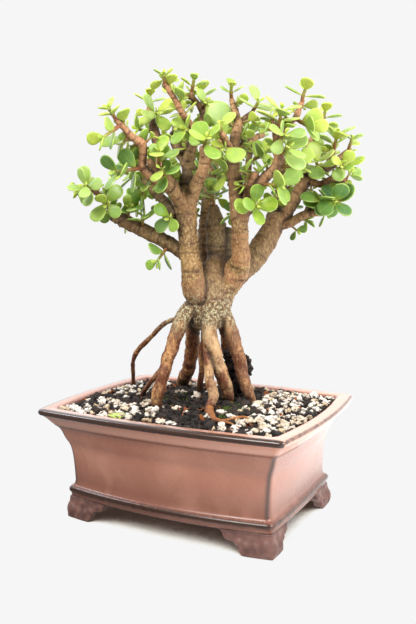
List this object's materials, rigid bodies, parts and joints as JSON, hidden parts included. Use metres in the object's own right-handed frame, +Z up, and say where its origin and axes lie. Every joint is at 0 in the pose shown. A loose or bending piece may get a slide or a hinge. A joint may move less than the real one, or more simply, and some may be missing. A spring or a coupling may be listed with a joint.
{
  "type": "potted dwarf jade bonsai",
  "caption": "Small-leaved succulent bonsai on tall exposed roots, planted in a footed rectangular glazed pot with a gritty soil surface.",
  "frame": {"origin": "on the standing surface, under the middle of the whole plant and pot", "axes": "+Z up, +X along the long side of the pot, -Y towards the viewer at the front long side"},
  "size_m": [0.2152, 0.1673, 0.3308],
  "materials": {
    "glaze": "semi-gloss",
    "net": "matte",
    "soil": "rough",
    "bark": "matte",
    "leaf": "satin"
  },
  "bodies": {
    "root": {"drain_screen": "net", "fallen_leaf": "leaf", "pot": "glaze", "soil": "soil", "spray_armEnd": "leaf", "spray_armMiddle": "leaf", "spray_armRed": "leaf", "spray_armTop": "leaf", "spray_armUnder": "leaf", "spray_backEnd": "leaf", "spray_backMiddle": "leaf", "spray_boughEnd": "leaf", "spray_boughEndLow": "leaf", "spray_boughFront": "leaf", "spray_boughTwigEnd": "leaf", "spray_candelabraFront": "leaf", "spray_candelabraLow": "leaf", "spray_candelabraMiddle": "leaf", "spray_candelabraNode": "leaf", "spray_candelabraRightEnd": "leaf", "spray_candelabraRightLow": "leaf", "spray_candelabraTop": "leaf", "spray_candelabraTwig": "leaf", "spray_darkBack": "leaf", "spray_darkBackLow": "leaf", "spray_darkLeftEnd": "leaf", "spray_darkRightFront": "leaf", "spray_forkEnd": "leaf", "spray_forkFront": "leaf", "spray_forkRound": "leaf", "spray_hangingLeft": "leaf", "spray_heroTwig": "leaf", "spray_leaderFront": "leaf", "spray_leftMiddle": "leaf", "spray_longRedEnd": "leaf", "spray_lowNode": "leaf", "spray_lowSide": "leaf", "spray_reachBack": "leaf", "spray_reachEnd": "leaf", "spray_reachHanging": "leaf", "spray_reachLow": "leaf", "spray_redEnd": "leaf", "spray_redMidEnd": "leaf", "spray_redMidFront": "leaf", "spray_redMidLeft": "leaf", "spray_rightTopEnd": "leaf", "spray_shadeMiddle": "leaf", "spray_shadeUp": "leaf", "spray_sideEnd": "leaf", "spray_sideLow": "leaf", "spray_slimEnd": "leaf", "spray_slimFar": "leaf", "spray_slimLow": "leaf", "spray_straightEnd": "leaf", "spray_stubTop": "leaf", "spray_thinEnd": "leaf", "spray_topTwigEnd": "leaf", "spray_upperArmEnd": "leaf", "spray_upperArmFront": "leaf", "trunk": "bark"}
  },
  "joints": []
}
